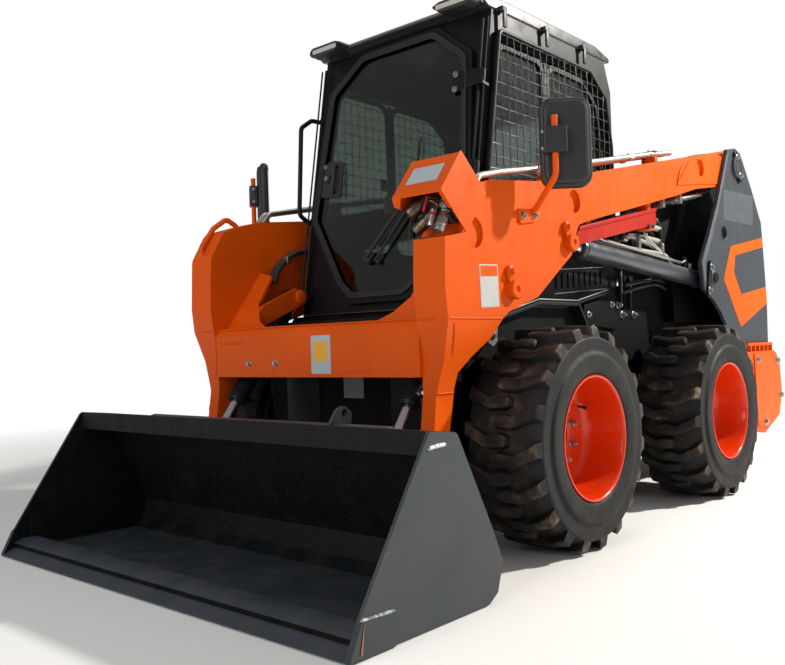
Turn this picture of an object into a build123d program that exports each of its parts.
"""Skid steer loader with a general purpose bucket, as an assembly of its real pieces.

Working frame: millimetres, X forward from the rear axle, Y to the machine's left, Z up from the
ground. export() shifts X so that the origin lies under the middle of the machine's overall box.
"""
import math
import os

from build123d import *

# ---- overall layout ---------------------------------------------------------------------
FRONT_TIP = 2645          # cutting edge
REAR_TIP = -1200          # rear corner boxes
X_MIDDLE = (FRONT_TIP + REAR_TIP) / 2
WHEELBASE = 1310
AXLE_Z = 410              # loaded radius of a 12-16.5 tyre
WHEEL_Y = 740             # middle plane of a wheel
AXLES = {"rear": 0, "front": WHEELBASE}
SIDES = {"left": 1, "right": -1}

# ---- wheels -----------------------------------------------------------------------------
TREAD_R = 386             # casing under the lugs
LUG_TIP_R = AXLE_Z
LUGS_PER_SIDE = 19
WHEEL_SIDES = 24          # facets round the casing and the rim
PIN_SIDES = 12            # facets of turned pieces that nothing turns in
RIM_R = 212               # bead seat
RIM_FLANGE_R = 228
SHAFT_R = 45
RUNNING = 0.05            # radial clearance of every pin in its bore
HUB_GAP = 0.3
STUD_CIRCLE_R = 101.6

# ---- chassis ----------------------------------------------------------------------------
TUB_Y = 500
TUB_TOP = 905
HOUSING_Y = 600           # end face of an axle housing
TOWER_INNER = (500, 555)  # inner tower structure, in Y
TOWER_OUTER = (700, 720)  # outer tower plate, in Y

# ---- lift arm ---------------------------------------------------------------------------
ARM_Y = (560, 695)
PIVOT = (-667, 1687)      # lift arm pivot, X and Z
PIVOT_R = 38
LIFT_BASE = (-300, 1065)
LIFT_EYE = (1080, 1155)
LIFT_Y = 630
TILT_TOP = (1537, 993)
TILT_EYE = (1950, 430)
TILT_Y = 475
BUCKET_PIN = (1900, 210)
EDGE_FLAT = 20            # chamfer along the arm's top outer edge
DOUBLER = 4               # plate round the rear of the arm, inside the tower
KNEE_DISH = (1750, 1140)
PIN_HEADS = [(1125, 1150), (1537, 955)]
BUCKET_PIN_R = 25

# ---- cab --------------------------------------------------------------------------------
CAB_Y = 470
CAB_WALL = 38
CAB_REAR = 283
CAB_TOP = 2100
DOOR_LEAN = 0.1664        # the door plane runs back this much for each unit of height
DOOR_TOP_POINT = (1310, 0, 2050)
DOOR_THICK = 24
DOOR_GAP = 6

# ---- bucket -----------------------------------------------------------------------------
BUCKET_Y = 935
BUCKET_PLATE = 12
BUCKET_Z = 4              # the bucket rests just clear of the ground
LUG_HOLE = (2104, 548)


# ---- helpers ----------------------------------------------------------------------------
def box(x, y, z):
    """Block from three (low, high) pairs."""
    size = [high - low for low, high in (x, y, z)]
    middle = [(low + high) / 2 for low, high in (x, y, z)]
    return Pos(*middle) * Box(*size)


def flat_sided(rings):
    """Solid with flat faces through closed rings of as many points each, and flat ends."""
    faces = [Face(Wire.make_polygon(ring)) for ring in (rings[0], rings[-1])]
    for low, high in zip(rings, rings[1:]):
        for index in range(len(low)):
            after = (index + 1) % len(low)
            faces.append(Face(Wire.make_polygon([low[index], low[after], high[after], high[index]])))
    return Solid(Shell(faces))


def flat_corner(before, corner, after, radius):
    """Corners that stand for one rounded corner of an outline, in three flats."""
    before, corner, after = (Vector(*point[:2]) for point in (before, corner, after))
    back, on = (before - corner).normalized(), (after - corner).normalized()
    half_turn = math.radians(back.get_angle(on)) / 2
    middle = corner + (back + on).normalized() * (radius / math.sin(half_turn))
    reach = radius / math.tan(half_turn)
    first, last = corner + back * reach - middle, corner + on * reach - middle
    spread = math.pi - 2 * half_turn
    spots = []
    for share in (0, 1 / 3, 2 / 3, 1):
        a, b = (math.sin(part * spread) / math.sin(spread) for part in (1 - share, share))
        spots.append(middle + first * a + last * b)
    return [(spot.X, spot.Y) for spot in spots]


def prism(outline, y_low, y_high):
    """Plate in the XZ plane between two Y values; an outline corner is (x, z) or (x, z, radius)."""
    corners = []
    for before, corner, after in zip(outline[-1:] + outline, outline, outline[1:] + outline[:1]):
        corners += flat_corner(before, corner, after, corner[2]) if len(corner) > 2 else [corner]
    wire = Polyline(*[(x, y_low, z) for x, z in corners], close=True)
    return extrude(make_face(wire), amount=y_high - y_low, dir=(0, 1, 0))


def rod(start, end, radius):
    """Cylinder between two points."""
    start, end = Vector(*start), Vector(*end)
    along = end - start
    seat = Plane(origin=start, z_dir=along)
    return seat * Cylinder(radius, along.length, align=(Align.CENTER, Align.CENTER, Align.MIN))


def cross_rod(point, y_low, y_high, radius):
    """Cylinder along Y through an (x, z) point."""
    return rod((point[0], y_low, point[1]), (point[0], y_high, point[1]), radius)


def pipe(points, radius, bend, sides=8):
    """Flat-sided bar along straight runs, with each bend cut across at a distance and mitred."""
    spots = [Vector(*points[0])]
    for before, corner, after in zip(points, points[1:], points[2:]):
        before, corner, after = Vector(*before), Vector(*corner), Vector(*after)
        spots += [corner + (before - corner).normalized() * bend, corner + (after - corner).normalized() * bend]
    spots.append(Vector(*points[-1]))
    runs = [(b - a).normalized() for a, b in zip(spots, spots[1:])]
    seat = Plane(origin=spots[0], z_dir=runs[0])
    turns = [math.tau * (index + 0.5) / sides for index in range(sides)]
    rings = [[seat.from_local_coords(Vector(radius * math.cos(a), radius * math.sin(a), 0)) for a in turns]]
    for index, run in enumerate(runs):
        mitre = (run + runs[min(index + 1, len(runs) - 1)]).normalized()
        rings.append([p + run * ((spots[index + 1] - p).dot(mitre) / run.dot(mitre)) for p in rings[-1]])
    return flat_sided(rings)


def stick(start, end, radius, sides=8):
    """Straight bar of regular section between two points."""
    start, end = Vector(*start), Vector(*end)
    seat = Plane(origin=start, z_dir=end - start)
    return extrude(seat * RegularPolygon(radius, sides), amount=(end - start).length)


def join(*shapes):
    """One fused shape of all the given ones."""
    total = shapes[0]
    for shape in shapes[1:]:
        total = total + shape
    return total


def mirrored(shape):
    """The same shape on the machine's other side."""
    return mirror(shape, about=Plane.XZ)


def both_sides(shape):
    return join(shape, mirrored(shape))


def along(start, end, distance):
    """The (x, z) point a distance from start towards end."""
    span = math.dist(start, end)
    return tuple(a + (b - a) * distance / span for a, b in zip(start, end))


def export(name, shape):
    placed = Pos(-X_MIDDLE, 0, 0) * shape
    export_step(placed, f"parts/{name}.step")


# ---- wheels: modelled round the Y axis, outboard side at +Y ------------------------------
def stack(sections, sides):
    """Flat-sided solid through regular polygons round the Y axis, from (y, corner radius) pairs."""
    turns = [math.tau * (index + 0.5) / sides for index in range(sides)]
    return flat_sided([[Vector(radius * math.cos(a), y, radius * math.sin(a)) for a in turns]
                       for y, radius in sections])


def disc(point, y_low, y_high, radius, sides=PIN_SIDES):
    """Flat-sided disc or collar along Y round an (x, z) point."""
    return Pos(point[0], 0, point[1]) * stack([(y_low, radius), (y_high, radius)], sides)


def casing():
    half = [(118, TREAD_R - 3), (150, 358), (157, 298)]
    outer = stack([(-y, radius) for y, radius in reversed(half)] + half, WHEEL_SIDES)
    dish = stack([(144, RIM_FLANGE_R), (152, RIM_FLANGE_R), (158, 288)], WHEEL_SIDES)
    bore = stack([(-200, RIM_R), (200, RIM_R)], WHEEL_SIDES)
    return outer - dish - mirrored(dish) - bore


def inset(ring, distance):
    """Corners of an anticlockwise outline drawn in by the same distance on every side."""
    found = []
    for before, corner, after in zip(ring[-1:] + ring, ring, ring[1:] + ring[:1]):
        normals = []
        for (x0, y0), (x1, y1) in ((before, corner), (corner, after)):
            span = math.dist((x0, y0), (x1, y1))
            normals.append(((y0 - y1) / span, (x1 - x0) / span))
        (a, b), (c, d) = normals
        reach = distance / (1 + a * c + b * d)
        found.append((corner[0] + (a + c) * reach, corner[1] + (b + d) * reach))
    return found


def lug():
    """Bar of the tread at the top of the tyre: square across the middle, swept back at the shoulder."""
    foot = [(26, -36), (31, 48), (-8, 154), (-64, 154), (-24, -36)]
    crown = inset(foot, 5)
    crown_z = math.sqrt(LUG_TIP_R ** 2 - crown[3][0] ** 2)
    return flat_sided([[Vector(x, y, z) for x, y in ring] for ring, z in ((foot, 345), (crown, crown_z))])


def tyre():
    left = lug()
    right = mirrored(left)
    step = 360 / LUGS_PER_SIDE
    lugs = [Rot(0, step * index, 0) * left for index in range(LUGS_PER_SIDE)]
    lugs += [Rot(0, step * (index + 0.5), 0) * right for index in range(LUGS_PER_SIDE)]
    return casing() + lugs


DISC_FACE = -8            # outer face of the wheel disc, in from the wheel's middle plane
DISC_BACK = -22


def rim():
    flange = stack([(144, RIM_FLANGE_R), (152, RIM_FLANGE_R)], WHEEL_SIDES)
    barrel = stack([(-152, RIM_R), (152, RIM_R)], WHEEL_SIDES)
    dish = stack([(153, 207), (144, 205), (20, 194), (DISC_FACE, 178)], WHEEL_SIDES)
    back = stack([(-153, 204), (DISC_BACK, 190)], WHEEL_SIDES)
    hub_back = HOUSING_Y - WHEEL_Y + HUB_GAP
    hub = stack([(hub_back, 84), (DISC_BACK, 84)], PIN_SIDES)
    bore = stack([(DISC_FACE - 34, 70), (DISC_FACE + 1, 70)], PIN_SIDES)
    nose = stack([(DISC_FACE - 34, 48), (DISC_FACE - 16, 48), (DISC_FACE - 8, 40)], PIN_SIDES)
    shaft = rod((0, hub_back - 80, 0), (0, hub_back, 0), SHAFT_R - RUNNING)
    nut = Pos(STUD_CIRCLE_R, 0, 0) * stack([(DISC_FACE, 14), (DISC_FACE + 24, 14)], 6)
    nuts = [Rot(0, 45 * index, 0) * nut for index in range(8)]
    shell = join(barrel, flange, mirrored(flange)) - dish - back
    return join(join(shell, hub) - bore, nose, shaft, *nuts)


SEAT_TURN = 8.04          # degrees, puts the corner of a lug straight under the axle


def place_wheel(shape, axle_x, side):
    placed = Pos(axle_x, WHEEL_Y, AXLE_Z) * Rot(0, SEAT_TURN, 0) * shape
    return placed if side > 0 else mirrored(placed)


# ---- chassis ----------------------------------------------------------------------------
TUB_SIDE = [(-1060, TUB_TOP), (-1060, 290), (-990, 225), (1500, 215), (1640, 320),
            (1640, 640), (1600, 780), (1500, TUB_TOP)]
WALL_Y = 440              # inner face of the tub's side walls


def chassis_tub():
    """Welded tub: two side walls with the floors, the bulkhead block and the nose between them."""
    walls = [prism(TUB_SIDE, WALL_Y, TUB_Y), prism(TUB_SIDE, -TUB_Y, -WALL_Y)]
    sills = [(-1060, -1040, 450), (-1040, 240, 300), (240, 760, TUB_TOP), (760, 1480, 380), (1480, 1640, TUB_TOP)]
    inner = prism(TUB_SIDE, -WALL_Y, WALL_Y)
    floors = [inner & box((rear, front), (-WALL_Y, WALL_Y), (200, top)) for rear, front, top in sills]
    posts = [box((-1060, -1040), (y, y + 20), (450, TUB_TOP)) for y in (-WALL_Y, WALL_Y - 20)]
    bumper = box((-1150, -1060), (-TUB_Y, TUB_Y), (300, 430))
    return [solid for shape in (*walls, *floors, *posts, bumper) for solid in shape.solids()]


def axle_housings():
    bore_y = HOUSING_Y - 90
    tubes = []
    for axle_x in AXLES.values():
        centre = (axle_x, AXLE_Z)
        tube = join(disc(centre, TUB_Y, HOUSING_Y, 80), disc(centre, TUB_Y, TUB_Y + 20, 120))
        tube = tube - cross_rod(centre, bore_y, HOUSING_Y + 1, SHAFT_R)
        tubes += [tube, mirrored(tube)]
    return join(*tubes)


def tower():
    """Left tower: an inner box on the tub, an outer plate, the rear web between and the pins."""
    arch_r = 612
    crest = [(-666, 1790), (-545, 1766), (-541, 1734), (-391, 1477), (-251, 1282), (-141, 1138),
             (-170, 968)]
    rear = [(-552, 675), (-1087, 675), (-1094, 955), (-1069, 1199), (-1041, 1411), (-893, 1603),
            (-744, 1770)]
    arch = disc((0, AXLE_Z), 0, 1000, arch_r, 32)
    outer = prism(crest + rear, *TOWER_OUTER) - arch
    inner_front = [(-170, 968), (-170, TUB_TOP - 60)]
    inner = prism(crest[:-1] + inner_front + [(-700, TUB_TOP - 60)] + rear[1:], *TOWER_INNER)
    web = prism([(-1087, 675), (-1094, 955), (-1069, 1199), (-1041, 1411), (-1020, 1405),
                 (-1049, 1197), (-1073, 955), (-1066, 675)], TOWER_INNER[1], TOWER_OUTER[0])
    shelf = prism([(-600, 700), (-600, 720), (-1066, 720), (-1066, 700)], TOWER_INNER[1], TOWER_OUTER[0])
    pin = join(cross_rod(PIVOT, TOWER_INNER[0], TOWER_OUTER[1], PIVOT_R - RUNNING),
               disc(PIVOT, TOWER_OUTER[1], TOWER_OUTER[1] + 14, 62))
    base_pin = join(cross_rod(LIFT_BASE, TOWER_INNER[0], TOWER_OUTER[1], 22 - RUNNING),
                    disc(LIFT_BASE, TOWER_OUTER[1], TOWER_OUTER[1] + 8, 34))
    hole = cross_rod((-458, 1310), 0, 1000, 34)
    return join(outer, inner, web, shelf, pin, base_pin) - hole


def rear_corner_boxes():
    outline = [(-640, 672), (-1100, 672), (-1165, 600), (REAR_TIP, 430), (-1140, 290), (-900, 210),
               (-640, 290)]
    return both_sides(prism(outline, TUB_Y, 750))


def engine():
    return box((-900, -120), (-270, 270), (300, 870))


SHIELD_Y = 490            # clear of the hood's edges


def side_panels():
    """Panels beside the engine bay, the raised shields ahead of the towers, and the pocket cover."""
    outline = [(-1060, TUB_TOP), (270, TUB_TOP), (270, 1304), (-1060, 1125)]
    shield = [(270, 1304), (270, 1405), (-440, 1563), (-330, 1223.25)]
    cover = [(386, 808), (684, 834), (690, 919), (394, 969)]
    left = [prism(outline, 486, TUB_Y), prism(shield, SHIELD_Y, TUB_Y), prism(cover, TUB_Y, TUB_Y + 14)]
    solids = [solid for shape in left for solid in shape.solids()]
    return Compound([*solids, *(mirrored(solid) for solid in solids)])


def fenders():
    outline = [(690, 790), (790, 925), (1120, 925), (1500, 840), (1500, 828), (1118, 912), (797, 912),
               (702, 784)]
    return both_sides(prism(outline, TUB_Y, 552))


# ---- hinges of the covers ---------------------------------------------------------------
HOOD_PIN = (262, 1354)
HOOD_HINGE_Y = 300
TAILGATE_PIN = (-1102, -482)
TAILGATE_Z = (452, 1112)
COVER_PIN_R = 8
KNUCKLE_R = 14


def hood():
    panel = prism([(-1078, 1134), (262, 1312), (262, 1343), (-1078, 1163)], -486, 486)
    lug_slots = box((236, 290), (HOOD_HINGE_Y - 20, HOOD_HINGE_Y + 1), (1200, 1400))
    panel = panel - both_sides(lug_slots)
    knuckle = disc(HOOD_PIN, HOOD_HINGE_Y + 1, HOOD_HINGE_Y + 45, KNUCKLE_R, 8)
    tongue = box((225, 262), (HOOD_HINGE_Y + 1, HOOD_HINGE_Y + 45), (1320, 1354))
    knuckle = join(knuckle, tongue) - cross_rod(HOOD_PIN, 0, 900, COVER_PIN_R)
    return join(panel, both_sides(knuckle)) - cross_rod(HOOD_PIN, -400, 400, COVER_PIN_R)


def tailgate():
    panel = box((-1086, -1066), (-466, 466), TAILGATE_Z)
    slots = [box((-1087, -1065), (-300, 300), (z, z + 26)) for z in range(560, 980, 60)]
    for slot in slots:
        panel = panel - slot
    knuckles = []
    for z in (520, 1000):
        knuckle = stick((*TAILGATE_PIN, z), (*TAILGATE_PIN, z + 60), KNUCKLE_R)
        leaf = box((-1102, -1066), (-482, -440), (z, z + 60))
        knuckles.append(join(knuckle, leaf))
    whole = join(panel, *knuckles)
    return whole - rod((*TAILGATE_PIN, 400), (*TAILGATE_PIN, 1200), COVER_PIN_R)


def tailgate_hinges():
    """Pins and their lugs down the right rear corner, joined by one strip on the tub."""
    pieces = [box((-1072, -1060), (-TUB_Y, -486), (480, 1090))]
    for z in (520, 1000):
        pin = rod((*TAILGATE_PIN, z - 12), (*TAILGATE_PIN, z + 60), COVER_PIN_R - RUNNING)
        lug = box((-1116, -1060), (-TUB_Y, -470), (z - 12, z - 1))
        pieces.append(join(pin, lug))
    return pieces


# ---- cab --------------------------------------------------------------------------------
DOOR_PLANE = Plane(origin=DOOR_TOP_POINT, x_dir=(0, 1, 0), z_dir=(1, 0, DOOR_LEAN))
ALONG_DOOR = math.hypot(1, DOOR_LEAN)
DOOR_OUTLINE = [(220, 2086), (408, 1935), (452, 1335), (240, 1005), (165, 948)]
DOOR_GLASS = [(201, 2050), (371, 1916), (415, 1340), (216, 1044), (143, 986)]
DOOR_OPENING = [(205, 2062), (385, 1920), (425, 1345), (225, 1030), (150, 972)]
DOOR_HINGE_Y = 470
DOOR_HINGE_Z = (1420, 1790)
SIDE_WINDOW = [(1238, 1990), (520, 1980), (388, 1880), (345, 1670), (345, 1200), (1372, 1200),
               (1350, 1340)]


def door_face(half_outline, forward):
    """Symmetric face in the door plane from (y, z) corners of its left half, at a set-out."""
    left = [(y, (z - DOOR_TOP_POINT[2]) * ALONG_DOOR) for y, z in half_outline]
    right = [(-y, t) for y, t in reversed(left)]
    face = make_face(Polyline(*left, *right, close=True))
    return DOOR_PLANE.offset(forward) * face


def door_slab(half_outline, low, high):
    return extrude(door_face(half_outline, low), amount=high - low, dir=DOOR_PLANE.z_dir)


def door_point(y, z, forward=0):
    return DOOR_PLANE.from_local_coords(Vector(y, (z - DOOR_TOP_POINT[2]) * ALONG_DOOR, forward))


def front_x(z, forward=0):
    """X of the door plane, set out forward along X, at a height."""
    return DOOR_TOP_POINT[0] + (DOOR_TOP_POINT[2] - z) * DOOR_LEAN + forward


WALL_FRONT = -(DOOR_THICK + DOOR_GAP)


def cab_profile(inset):
    """Side outline of the cab, drawn in by the wall at the front and rear and open above."""
    low, high = TUB_TOP, CAB_TOP
    rear = CAB_REAR + inset
    return [(front_x(low, WALL_FRONT - inset), low), (front_x(high, WALL_FRONT - inset), high),
            (CAB_REAR + 60 + inset / 2, high), (rear, 1960), (rear, low)]


def cab_sides():
    wall = prism(cab_profile(0), CAB_Y - CAB_WALL, CAB_Y) - prism(SIDE_WINDOW, CAB_Y - 100, CAB_Y + 1)
    left_lugs = []
    for z in DOOR_HINGE_Z:
        centre = door_point(DOOR_HINGE_Y, z)
        up = DOOR_PLANE.y_dir
        pin = rod(centre - up * 12, centre + up * 50, COVER_PIN_R - RUNNING)
        seat_plane = Plane(origin=centre - up * 12, x_dir=(0, 1, 0), z_dir=up)
        left_lugs.append(join(pin, seat_plane * box((-12, 12), (-10.3, 30.3), (0, 11))))
    return join(wall, mirrored(wall), *left_lugs)


def cab_front():
    inner_y = CAB_Y - CAB_WALL
    block = prism(cab_profile(0), -inner_y, inner_y) - prism(cab_profile(CAB_WALL), -CAB_Y, CAB_Y)
    block = block - box((0, 900), (-CAB_Y, CAB_Y), (TUB_TOP - 1, CAB_TOP + 1))
    return block - door_slab(DOOR_OPENING, WALL_FRONT - CAB_WALL - 8, WALL_FRONT + 20)


def cab_rear():
    inner_y = CAB_Y - CAB_WALL
    block = prism(cab_profile(0), -inner_y, inner_y) - prism(cab_profile(CAB_WALL), -CAB_Y, CAB_Y)
    block = block - box((900, 1700), (-CAB_Y, CAB_Y), (TUB_TOP - 1, CAB_TOP + 1))
    rear_window = box((CAB_REAR - 1, CAB_REAR + CAB_WALL + 1), (-360, 360), (1400, 1900))
    hood_pin = cross_rod(HOOD_PIN, HOOD_HINGE_Y - 14, HOOD_HINGE_Y + 46, COVER_PIN_R - RUNNING)
    hood_lug = box((HOOD_PIN[0] - 12, CAB_REAR), (HOOD_HINGE_Y - 14, HOOD_HINGE_Y),
                   (HOOD_PIN[1] - 12, HOOD_PIN[1] + 12))
    return join(block - rear_window, both_sides(join(hood_pin, hood_lug)))


def cab_roof():
    slab = prism([(CAB_REAR + 10, CAB_TOP), (1296, CAB_TOP), (1330, 2118), (1290, 2152), (430, 2152),
                  (CAB_REAR + 10, 2122)], -476, 476)
    return slab


def lamps():
    pod = box((1330, 1400), (262, 458), (2096, 2140))
    foot = box((1296, 1330), (300, 420), (CAB_TOP, 2112))
    tail = box((-1120, -1094), (575, 690), (1000, 1090))
    return both_sides(join(pod, foot) - cab_roof()) + [tail, mirrored(tail)]


def cab_glass():
    side = both_sides(prism(SIDE_WINDOW, 446, 452))
    rear = box((CAB_REAR + 16, CAB_REAR + 22), (-360, 360), (1400, 1900))
    return join(side, rear)


def side_screens():
    """Bar frame outside each side window, with crossed bars that lie on each other."""
    edge = [(1258, 2020), (520, 2014), (366, 1910), (322, 1680), (322, 1170), (1392, 1170),
            (1378, 1350)]
    field = [(1244, 2004), (526, 1998), (381, 1900), (338, 1676), (338, 1186), (1374, 1186),
             (1362, 1346)]
    corners = list(zip(edge, edge[1:] + edge[:1], field[1:] + field[:1], field))
    frame = [prism(list(run), CAB_Y, 500) for run in corners]
    window = prism(field, 480, 500)
    bars = [box((322, 1392), (488, 491), (z - 3, z + 3)) & window for z in range(1270, 2000, 105)]
    bars += [box((x - 3, x + 3), (491, 494), (1170, 2020)) & window for x in range(450, 1380, 105)]
    left = [solid for shape in (*frame, *bars) for solid in shape.solids()]
    return Compound([*left, *(mirrored(solid) for solid in left)])


def seat():
    base = box((400, 740), (-200, 200), (TUB_TOP, 1000))
    cushion = prism([(330, 1000, 20), (850, 1000, 40), (850, 1110, 40), (420, 1080, 20)], -235, 235)
    back = prism([(345, 1090, 15), (455, 1085, 30), (425, 1640, 40), (335, 1640, 40)], -225, 225)
    return join(base, cushion, back)


def operator_controls():
    console = box((560, 750), (290, 400), (TUB_TOP, 1160))
    lever = stick((700, 345, 1160), (740, 345, 1290), 9)
    grip = stick((740, 345, 1290), (760, 345, 1370), 20)
    return both_sides(join(console, lever, grip))


def grab_handles():
    bend = 30
    y = CAB_Y + 14
    tube = pipe([(1306, y, 1819), (1396, y, 1806), (1446, y, 1385), (1396, y, 1345)], 11, bend)
    feet = [box((x - 7, x + 7), (CAB_Y, y), (z - 14, z + 14)) for x, z in ((1308, 1817), (1390, 1345))]
    return mirrored(join(tube, *feet))


def door_frame():
    slab = door_slab(DOOR_OUTLINE, -DOOR_THICK, 0)
    opening = door_slab(DOOR_GLASS, -DOOR_THICK - 1, 1)
    frame = slab - opening
    knuckles = []
    for z in DOOR_HINGE_Z:
        centre = door_point(DOOR_HINGE_Y, z)
        up = DOOR_PLANE.y_dir
        tube = stick(centre, centre + up * 50, KNUCKLE_R)
        local = Plane(origin=centre, x_dir=(0, 1, 0), z_dir=up)
        leaf = local * (Pos(-30, 6, 0) * Box(60, 12, 50, align=(Align.CENTER, Align.CENTER, Align.MIN)))
        knuckles.append(join(tube, leaf) - rod(centre - up, centre + up * 51, COVER_PIN_R))
    frame = frame + knuckles
    for z in DOOR_HINGE_Z:
        centre = door_point(DOOR_HINGE_Y, z)
        up = DOOR_PLANE.y_dir
        frame = frame - rod(centre - up, centre + up * 51, COVER_PIN_R)
    return frame - door_slab(DOOR_GLASS, -DOOR_THICK - 1, 30)


def door_glass():
    return door_slab(DOOR_GLASS, -15, -9)


# ---- lift arm ---------------------------------------------------------------------------
def arm():
    """Left arm: box beam with its top edge chamfered, knee with the lift eye pocket, and the tapered leg."""
    top_rear, top_front = (-640, 1781), (1345, 1364)
    beam = prism([(-667, 1787, 60), top_front, (1640, 1333, 120), (1835, 1277, 60), (1907, 1154, 60),
                  (1915, 946), (1904, 847), (1594, 847), (1555, 872), (1356, 930), (1192, 1041, 60),
                  (1100, 1100, 30), (1040, 1225, 40), (971, 1246), (82, 1450), (-175, 1515),
                  (-640, 1585, 60), (-767, 1687, 60)], *ARM_Y)
    outer = ARM_Y[1]
    cut = EDGE_FLAT * math.sqrt(2)
    edge_bar = stick((top_rear[0], outer, top_rear[1]), (top_front[0], outer, top_front[1]), cut, 4)
    doubler = prism([(68, 1504), (-119, 1531), (-300, 1552), (-640, 1590, 60), (-752, 1687, 60), (-660, 1750),
                     (-80, 1640, 120)], outer, outer + DOUBLER)
    boss = disc(PIVOT, *ARM_Y, 98, 16)
    pocket = prism([(860, 1222), (1100, 1222), (1148, 1175), (1148, 900), (860, 900)], 592, 668)
    bore = cross_rod(PIVOT, 0, 1000, PIVOT_R)
    boss_hole = disc((1063, 1318), 0, 1000, 30)
    knee_dish = disc(KNEE_DISH, outer - 10, outer + 1, 45)
    beam = join(beam, boss) - edge_bar
    beam = join(beam, doubler) - pocket - bore - boss_hole - knee_dish
    heads = [disc(spot, outer, outer + 14, 30) for spot in PIN_HEADS]
    return join(beam, leg(), *heads)


def leg():
    outline = [(1594, 847), (1637, 783), (1733, 717), (1790, 665), (1790, 585), (1814, 479),
               (1838, 210), (1858, 160, 20), (1900, 150, 30), (1945, 165, 20), (1958, 215, 20),
               (1930, 300, 60), (1898, 487), (1882, 597), (1880, 720), (1904, 847)]
    blank = prism(outline, 560, 695)
    side = make_face(Polyline((1500, 618, 100), (1500, 618, 600), (1500, 695, 847), (1500, 760, 847),
                              (1500, 760, 100), close=True))
    taper = extrude(side, amount=600, dir=(1, 0, 0))
    return blank - taper - cross_rod(BUCKET_PIN, 0, 1000, BUCKET_PIN_R)


APRON_LOW = (1865, 810)
APRON_HIGH = (1643, 1107)


def cross_member():
    arm_face = ARM_Y[0]
    front = prism([(1895, 655), (1895, 822), (1872, 852), (1846, 838), (1862, 812), (1862, 655)],
                  -arm_face, arm_face)
    length = math.dist(APRON_LOW, APRON_HIGH)
    slope = Plane(origin=(APRON_LOW[0], 0, APRON_LOW[1]), x_dir=(0, 1, 0),
                  z_dir=(APRON_HIGH[1] - APRON_LOW[1], 0, APRON_LOW[0] - APRON_HIGH[0]))
    right = [(arm_face, -15), (arm_face, length), (462, length - 28), (445, 188), (372, 94), (281, 41)]
    left = [(-y, t) for y, t in reversed(right)]
    apron = slope * extrude(make_face(Polyline(*right, *left, close=True)), amount=-12)
    rib = prism([(1505, 1010), (1500, 975), (1535, 955), (1845, 824), (1750, 952), (1560, 1032)],
                TILT_Y - 60, TILT_Y - 45)
    pin = cross_rod(TILT_TOP, TILT_Y - 60, arm_face, 20 - RUNNING)
    return join(front, apron, both_sides(join(rib, pin)))


def coupler_box():
    outer = prism([(1814, 1410, 12), (1931, 1263, 8), (1793, 1138), (1677, 1278, 8)], 490, 695)
    inner = prism([(1812, 1392), (1950, 1230), (1815, 1108), (1694, 1276)], 498, 687)
    return outer - inner - arm()


def hydraulic_couplers():
    fittings = []
    for y in (530, 580, 630):
        fittings.append(stick((1740, y, 1300), (1835, y, 1215), 15))
    for y in (555, 605):
        fittings.append(stick((1775, y, 1335), (1870, y, 1250), 15))
    return join(*fittings) - arm() - coupler_box()


def arm_guard():
    loop = pipe([(1700, -628, 1290), (1770, -628, 1350), (1860, -628, 1345), (1925, -628, 1270),
                 (1880, -628, 1160)], 12, 25)
    return loop - mirrored(arm())


def mirror_stalk():
    bracket = box((1360, 1480), (ARM_Y[1], 707), (1205, 1255))
    stalk = pipe([(1420, 700, 1235), (1412, 800, 1345), (1372, 800, 1560)], 12, 30)
    return join(bracket, stalk) - box((1300, 1500), (500, ARM_Y[1]), (1100, 1400))


def mirror_head():
    face = [(735, 1350, 40), (945, 1350, 40), (945, 1625, 40), (735, 1625, 40)]
    head = Pos(1335, 0, 0) * Rot(0, 0, -90) * prism([(-y, z, radius) for y, z, radius in face], 0, 65)
    return head - pipe([(1420, 700, 1235), (1412, 800, 1345), (1372, 800, 1560)], 12, 30)


def arm_tubes():
    tubes = []
    for y in (580, 608, 636):
        path = [(1660, y, 1372), (1345, y, 1412), (-300, y, 1757)]
        tubes.append(pipe(path, 8, 120, 6))
    clamps = [prism([(x, 1722 - 0.2102 * (x - -60)), (x + 40, 1722 - 0.2102 * (x - -20)),
                     (x + 40, 1640 - 0.2102 * (x - -20)), (x, 1640 - 0.2102 * (x - -60))], 566, 650)
              for x in (200, 700, 1150)]
    left = join(*tubes, *clamps) - arm()
    return both_sides(left)


def support_strut():
    outline = [(954, 1238), (255, 1385), (238, 1300), (938, 1150)]
    inside = [(990, 1222), (230, 1380), (200, 1250), (930, 1120)]
    channel = prism(outline, 566, 692) - prism(inside, 572, 686)
    lugs_ = [box((x, x + 40), (600, 650), (1140, 1500)) & prism([(954, 1238), (255, 1385), (255, 1420),
             (954, 1262)], 500, 700) for x in (300, 880)]
    return join(channel, *lugs_) - arm()


# ---- cylinders --------------------------------------------------------------------------
GLAND = 46                # collar at the open end of a barrel


def barrel(base, eye, y, radius, rod_r, length, eye_r, pin_r):
    end = along(base, eye, length)
    inner_start = along(base, eye, eye_r + 10)
    body = stick((base[0], y, base[1]), (end[0], y, end[1]), radius, PIN_SIDES)
    gland_start = along(base, eye, length - GLAND)
    gland = stick((gland_start[0], y, gland_start[1]), (end[0], y, end[1]), radius + 3, PIN_SIDES)
    lug = disc(base, y - 26, y + 26, eye_r)
    clear_ends = join(disc(base, y - 80, y - 26, eye_r + 14), disc(base, y + 26, y + 80, eye_r + 14))
    rod_bore = rod((inner_start[0], y, inner_start[1]), (end[0], y, end[1]), rod_r)
    whole = join(body - clear_ends, lug, gland) - rod_bore
    return whole - cross_rod(base, y - 60, y + 60, pin_r)


def piston_rod(base, eye, y, rod_r, inside, eye_r, pin_r, eye_half):
    inner = along(base, eye, inside)
    shaft = rod((inner[0], y, inner[1]), (eye[0], y, eye[1]), rod_r - RUNNING)
    lug = disc(eye, y - eye_half, y + eye_half, eye_r)
    return join(shaft, lug) - cross_rod(eye, y - 60, y + 60, pin_r)


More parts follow.
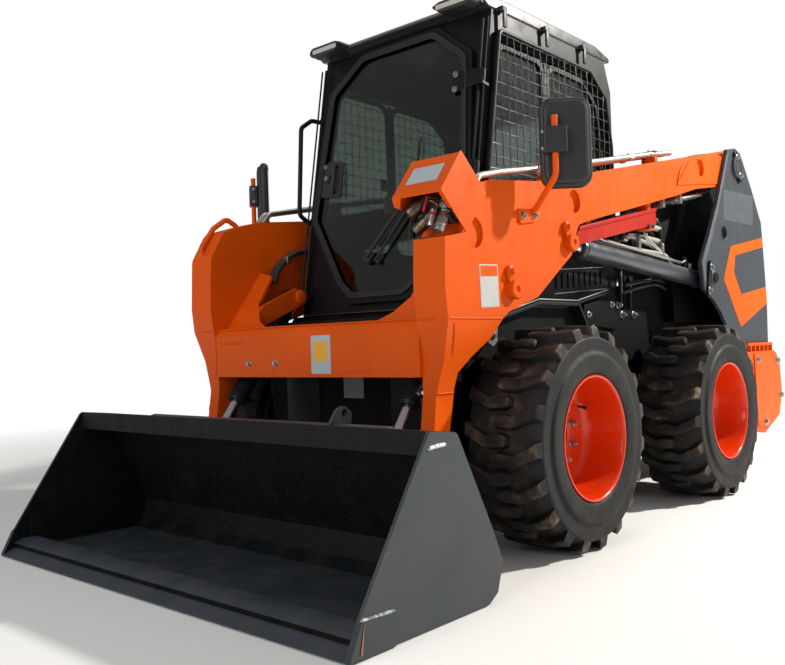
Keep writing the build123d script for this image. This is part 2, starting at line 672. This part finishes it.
LIFT = {"base": LIFT_BASE, "eye": LIFT_EYE, "y": LIFT_Y}
TILT = {"base": TILT_TOP, "eye": TILT_EYE, "y": TILT_Y}


def lift_barrels():
    return both_sides(barrel(**LIFT, radius=44, rod_r=25, length=1232, eye_r=44, pin_r=22))


def lift_rods():
    return both_sides(piston_rod(**LIFT, rod_r=25, inside=380, eye_r=42, pin_r=22, eye_half=28))


def tilt_barrels():
    return both_sides(barrel(**TILT, radius=39, rod_r=20, length=554, eye_r=36, pin_r=20))


def tilt_rods():
    return both_sides(piston_rod(**TILT, rod_r=20, inside=148, eye_r=32, pin_r=18, eye_half=23))


# ---- coupler frame and bucket -----------------------------------------------------------
BACK_TOP = (2190, 517)
BACK_MIDDLE = (2028, 211)
BACK_LOW = (1985, 117)


def coupler_frame():
    beam_top = along(BACK_TOP, BACK_MIDDLE, 10)
    beam = prism([beam_top, BACK_MIDDLE, BACK_LOW, (1945, 145), (1985, 226), (2140, 518)], -650, 650)
    window = prism([(2300, 420), (2300, 260), (1900, 260), (1900, 420)], -330, 330)
    ear = prism([(1872, 160, 30), (1945, 145), (1985, 226), (2010, 270), (1905, 268, 40), (1845, 225, 30)],
                0, 20)
    ears = [Pos(0, y, 0) * ear for y in (533, 625)]
    pin = cross_rod(BUCKET_PIN, 533, 652, BUCKET_PIN_R - RUNNING)
    tilt_ear = prism([(2060, 365), (2120, 480), (1960, 470, 30), (1912, 440, 25), (1925, 392, 30)], 0, 16)
    tilt_ears = [Pos(0, y, 0) * tilt_ear for y in (TILT_Y - 45, TILT_Y + 29)]
    lug = prism([(2085, 440), (2160, 517), (2172, 517), (2140, 562, 25), (2104, 574, 25), (2070, 550, 20)],
                395, 409) - cross_rod(LUG_HOLE, 390, 420, 14)
    return join(beam - window, lug, both_sides(join(*ears, pin, *tilt_ears)))


def bucket():
    z = BUCKET_Z
    step = FRONT_TIP - 43
    side_outline = [(2310, 530), BACK_TOP, BACK_MIDDLE, BACK_LOW, (2015, 30), (2060, z), (FRONT_TIP, z),
                    (FRONT_TIP, z + 5), (2601, 94)]
    skin_outer = [(2310, 530), BACK_TOP, BACK_MIDDLE, BACK_LOW, (2015, 30), (2060, z), (2520, z)]
    skin_inner = [(2520, z + 14), (2068, z + 14), (2029, 42), (2001, 113), (2044, 207), (2202, 505),
                  (2296, 516), (2302, 462), (2314, 463)]
    skin = prism(skin_outer + skin_inner, -BUCKET_Y, BUCKET_Y)
    heel = prism([(2011, 130), (2001, 113), (2029, 42), (2068, z + 14), (2080, z + 14), (2040, 52)],
                 -BUCKET_Y, BUCKET_Y)
    cheek = prism(side_outline, BUCKET_Y - BUCKET_PLATE, BUCKET_Y)
    edge = prism([(2485, z), (FRONT_TIP, z), (FRONT_TIP, z + 5), (step, 30), (step, 45), (step - 30, 58),
                  (2515, 58), (2485, z + 14)], -BUCKET_Y, BUCKET_Y)
    cutter = prism([(2601, 94), (2470, 89), (2461, 14), (2482, z), (FRONT_TIP, z), (FRONT_TIP, z + 5)],
                   BUCKET_Y, BUCKET_Y + 8)
    return join(skin, heel, edge, both_sides(join(cheek, cutter)))


# ---- all nodes --------------------------------------------------------------------------
def main():
    os.makedirs("parts", exist_ok=True)
    tyre_shape, rim_shape = tyre(), rim()
    for axle, axle_x in AXLES.items():
        for side, sign in SIDES.items():
            export(f"tyre_{axle}_{side}", place_wheel(tyre_shape, axle_x, sign))
            export(f"rim_{axle}_{side}", place_wheel(rim_shape, axle_x, sign))
    export("chassis_tub", Compound([*chassis_tub(), join(*tailgate_hinges()).solid()]))
    left_tower, left_arm = tower(), arm()
    export("tower_left", left_tower)
    export("tower_right", mirrored(left_tower))
    export("arm_left", left_arm)
    export("arm_right", mirrored(left_arm))
    export("mirror_stalks", both_sides(mirror_stalk()))
    export("mirror_heads", both_sides(mirror_head()))
    for piece in (axle_housings, rear_corner_boxes, engine, side_panels, fenders, hood, tailgate,
                  cab_sides, cab_front, cab_rear, cab_roof, lamps, cab_glass, side_screens, seat, operator_controls,
                  grab_handles, door_frame, door_glass, cross_member, coupler_box,
                  hydraulic_couplers, arm_guard, arm_tubes, support_strut, lift_barrels, lift_rods,
                  tilt_barrels, tilt_rods, coupler_frame, bucket):
        export(piece.__name__, piece())


main()
